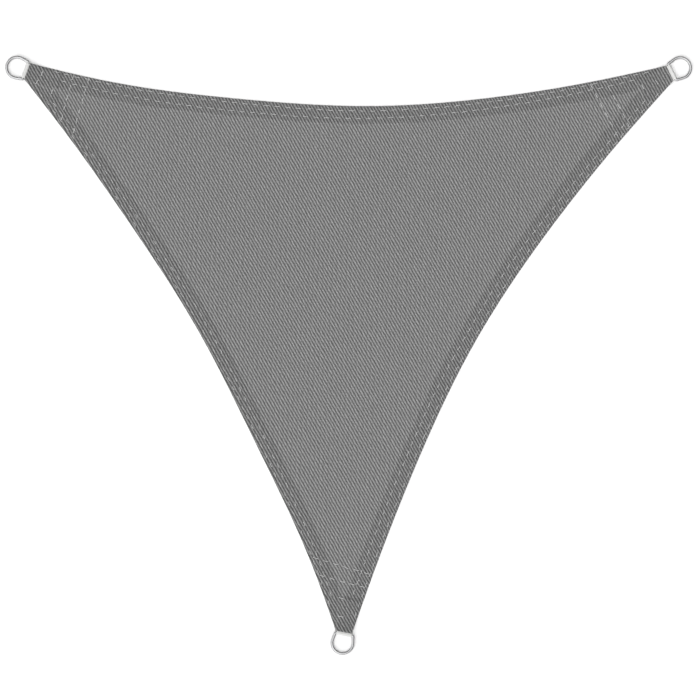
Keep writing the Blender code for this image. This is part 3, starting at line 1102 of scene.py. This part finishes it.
def steel_surface():
    """Polished steel wire with faint draw lines and handling marks."""
    s = Surface("polished_steel", metallic=1.0)
    place = s.add("ShaderNodeTexCoord").outputs["Object"]
    marks = s.noise(place, scale=260.0, detail=6.0)
    clouds = s.noise(place, scale=35.0, detail=3.0)
    s.set("Base Color", s.mix(clouds, (0.34, 0.34, 0.35, 1.0), grey(0.42)))
    s.set("Roughness", s.times(s.between(marks, 0.12, 0.28), s.between(clouds, 0.8, 1.2)))
    s.bump(marks, 0.00002)
    return s.material


# ---- floor, light and camera --------------------------------------------------------------------


def add_floor():
    surface = Surface("pale_floor", roughness=0.9, base_color=grey(0.93))
    square = np.array(((-1, -1), (1, -1), (1, 1), (-1, 1))) * FLOOR_SIZE / 2
    corners = np.column_stack((square, np.full(4, -FLOOR_DROP)))
    mesh_object("floor", surface.material, corners, [(0, 1, 2, 3)])


def add_sky():
    """A white sky, dark to one side of the horizon, which draws the dark lines along the steel."""
    world = bpy.data.worlds.new("studio")
    bpy.context.scene.world = world
    world.use_nodes = True
    s = Nodes(world.node_tree)
    way = s.add("ShaderNodeTexCoord").outputs["Generated"]
    dark_way = Vector(DARK_WAY).normalized()
    facing = s.add("ShaderNodeVectorMath", {0: way, 1: dark_way}, operation="DOT_PRODUCT")
    height = s.add("ShaderNodeSeparateXYZ", {"Vector": way}).outputs["Z"]
    horizon = s.eased(facing.outputs["Value"], -0.60, 0.10, HORIZON_LIGHT, HORIZON_DARK)
    background = world.node_tree.nodes["Background"]
    s.feed(background.inputs["Strength"], s.eased(height, 0.70, 0.90, horizon, SKY))
    s.feed(background.inputs["Color"], grey(1.0))


def add_sun():
    light = bpy.data.lights.new("soft_sun", "SUN")
    light.energy = SUN_STRENGTH
    light.angle = math.radians(SUN_ANGLE)
    sun = bpy.data.objects.new("soft_sun", light)
    sun.rotation_euler = [math.radians(a) for a in SUN_TILT]
    bpy.context.scene.collection.objects.link(sun)


def add_camera():
    data = bpy.data.cameras.new("camera")
    data.sensor_width = SENSOR
    data.lens = SENSOR * CAMERA_HEIGHT / VIEW_WIDTH
    data.clip_end = VIEW_DEPTH
    camera = bpy.data.objects.new("camera", data)
    camera.location = (*VIEW_CENTRE, CAMERA_HEIGHT)
    bpy.context.scene.collection.objects.link(camera)
    bpy.context.scene.camera = camera
    bpy.context.scene.view_settings.view_transform = "Standard"


# ---- everything together ------------------------------------------------------------------------


def add_sewing(thread):
    """One piece for each hem and one for each corner."""
    rng = np.random.default_rng(SEED)
    sewn = []
    for side, curve in zip(SIDES, CURVES):
        name = f"hem_stitches_{side.name}"
        sewn.append(add_stitching(name, hem_seams(side, curve), HEM_STRAND, thread, rng))
    for tip in TIPS:
        name = f"corner_stitches_{tip.name}"
        sewn.append(add_stitching(name, corner_seams(tip), CORNER_STRAND, thread, rng))
    for piece in sewn:
        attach(piece, "root")
    return sewn


def add_fittings(tape, steel):
    """A webbing loop and a D-ring for each tip."""
    for tip in TIPS:
        loop, length = add_webbing(tip, tape)
        ring = add_ring(tip, steel)
        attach(loop, "root")
        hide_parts(f"webbing_{tip.name}")
        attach(ring, "root")
        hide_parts(f"ring_{tip.name}")


def main():
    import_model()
    add_camera()
    add_sky()
    add_sun()
    add_floor()

    cloth = add_cloth(cloth_surface())
    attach(cloth, "root")
    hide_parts("sail_cloth")
    sewn = add_sewing(thread_surface())
    add_fittings(webbing_surface(), steel_surface())


main()
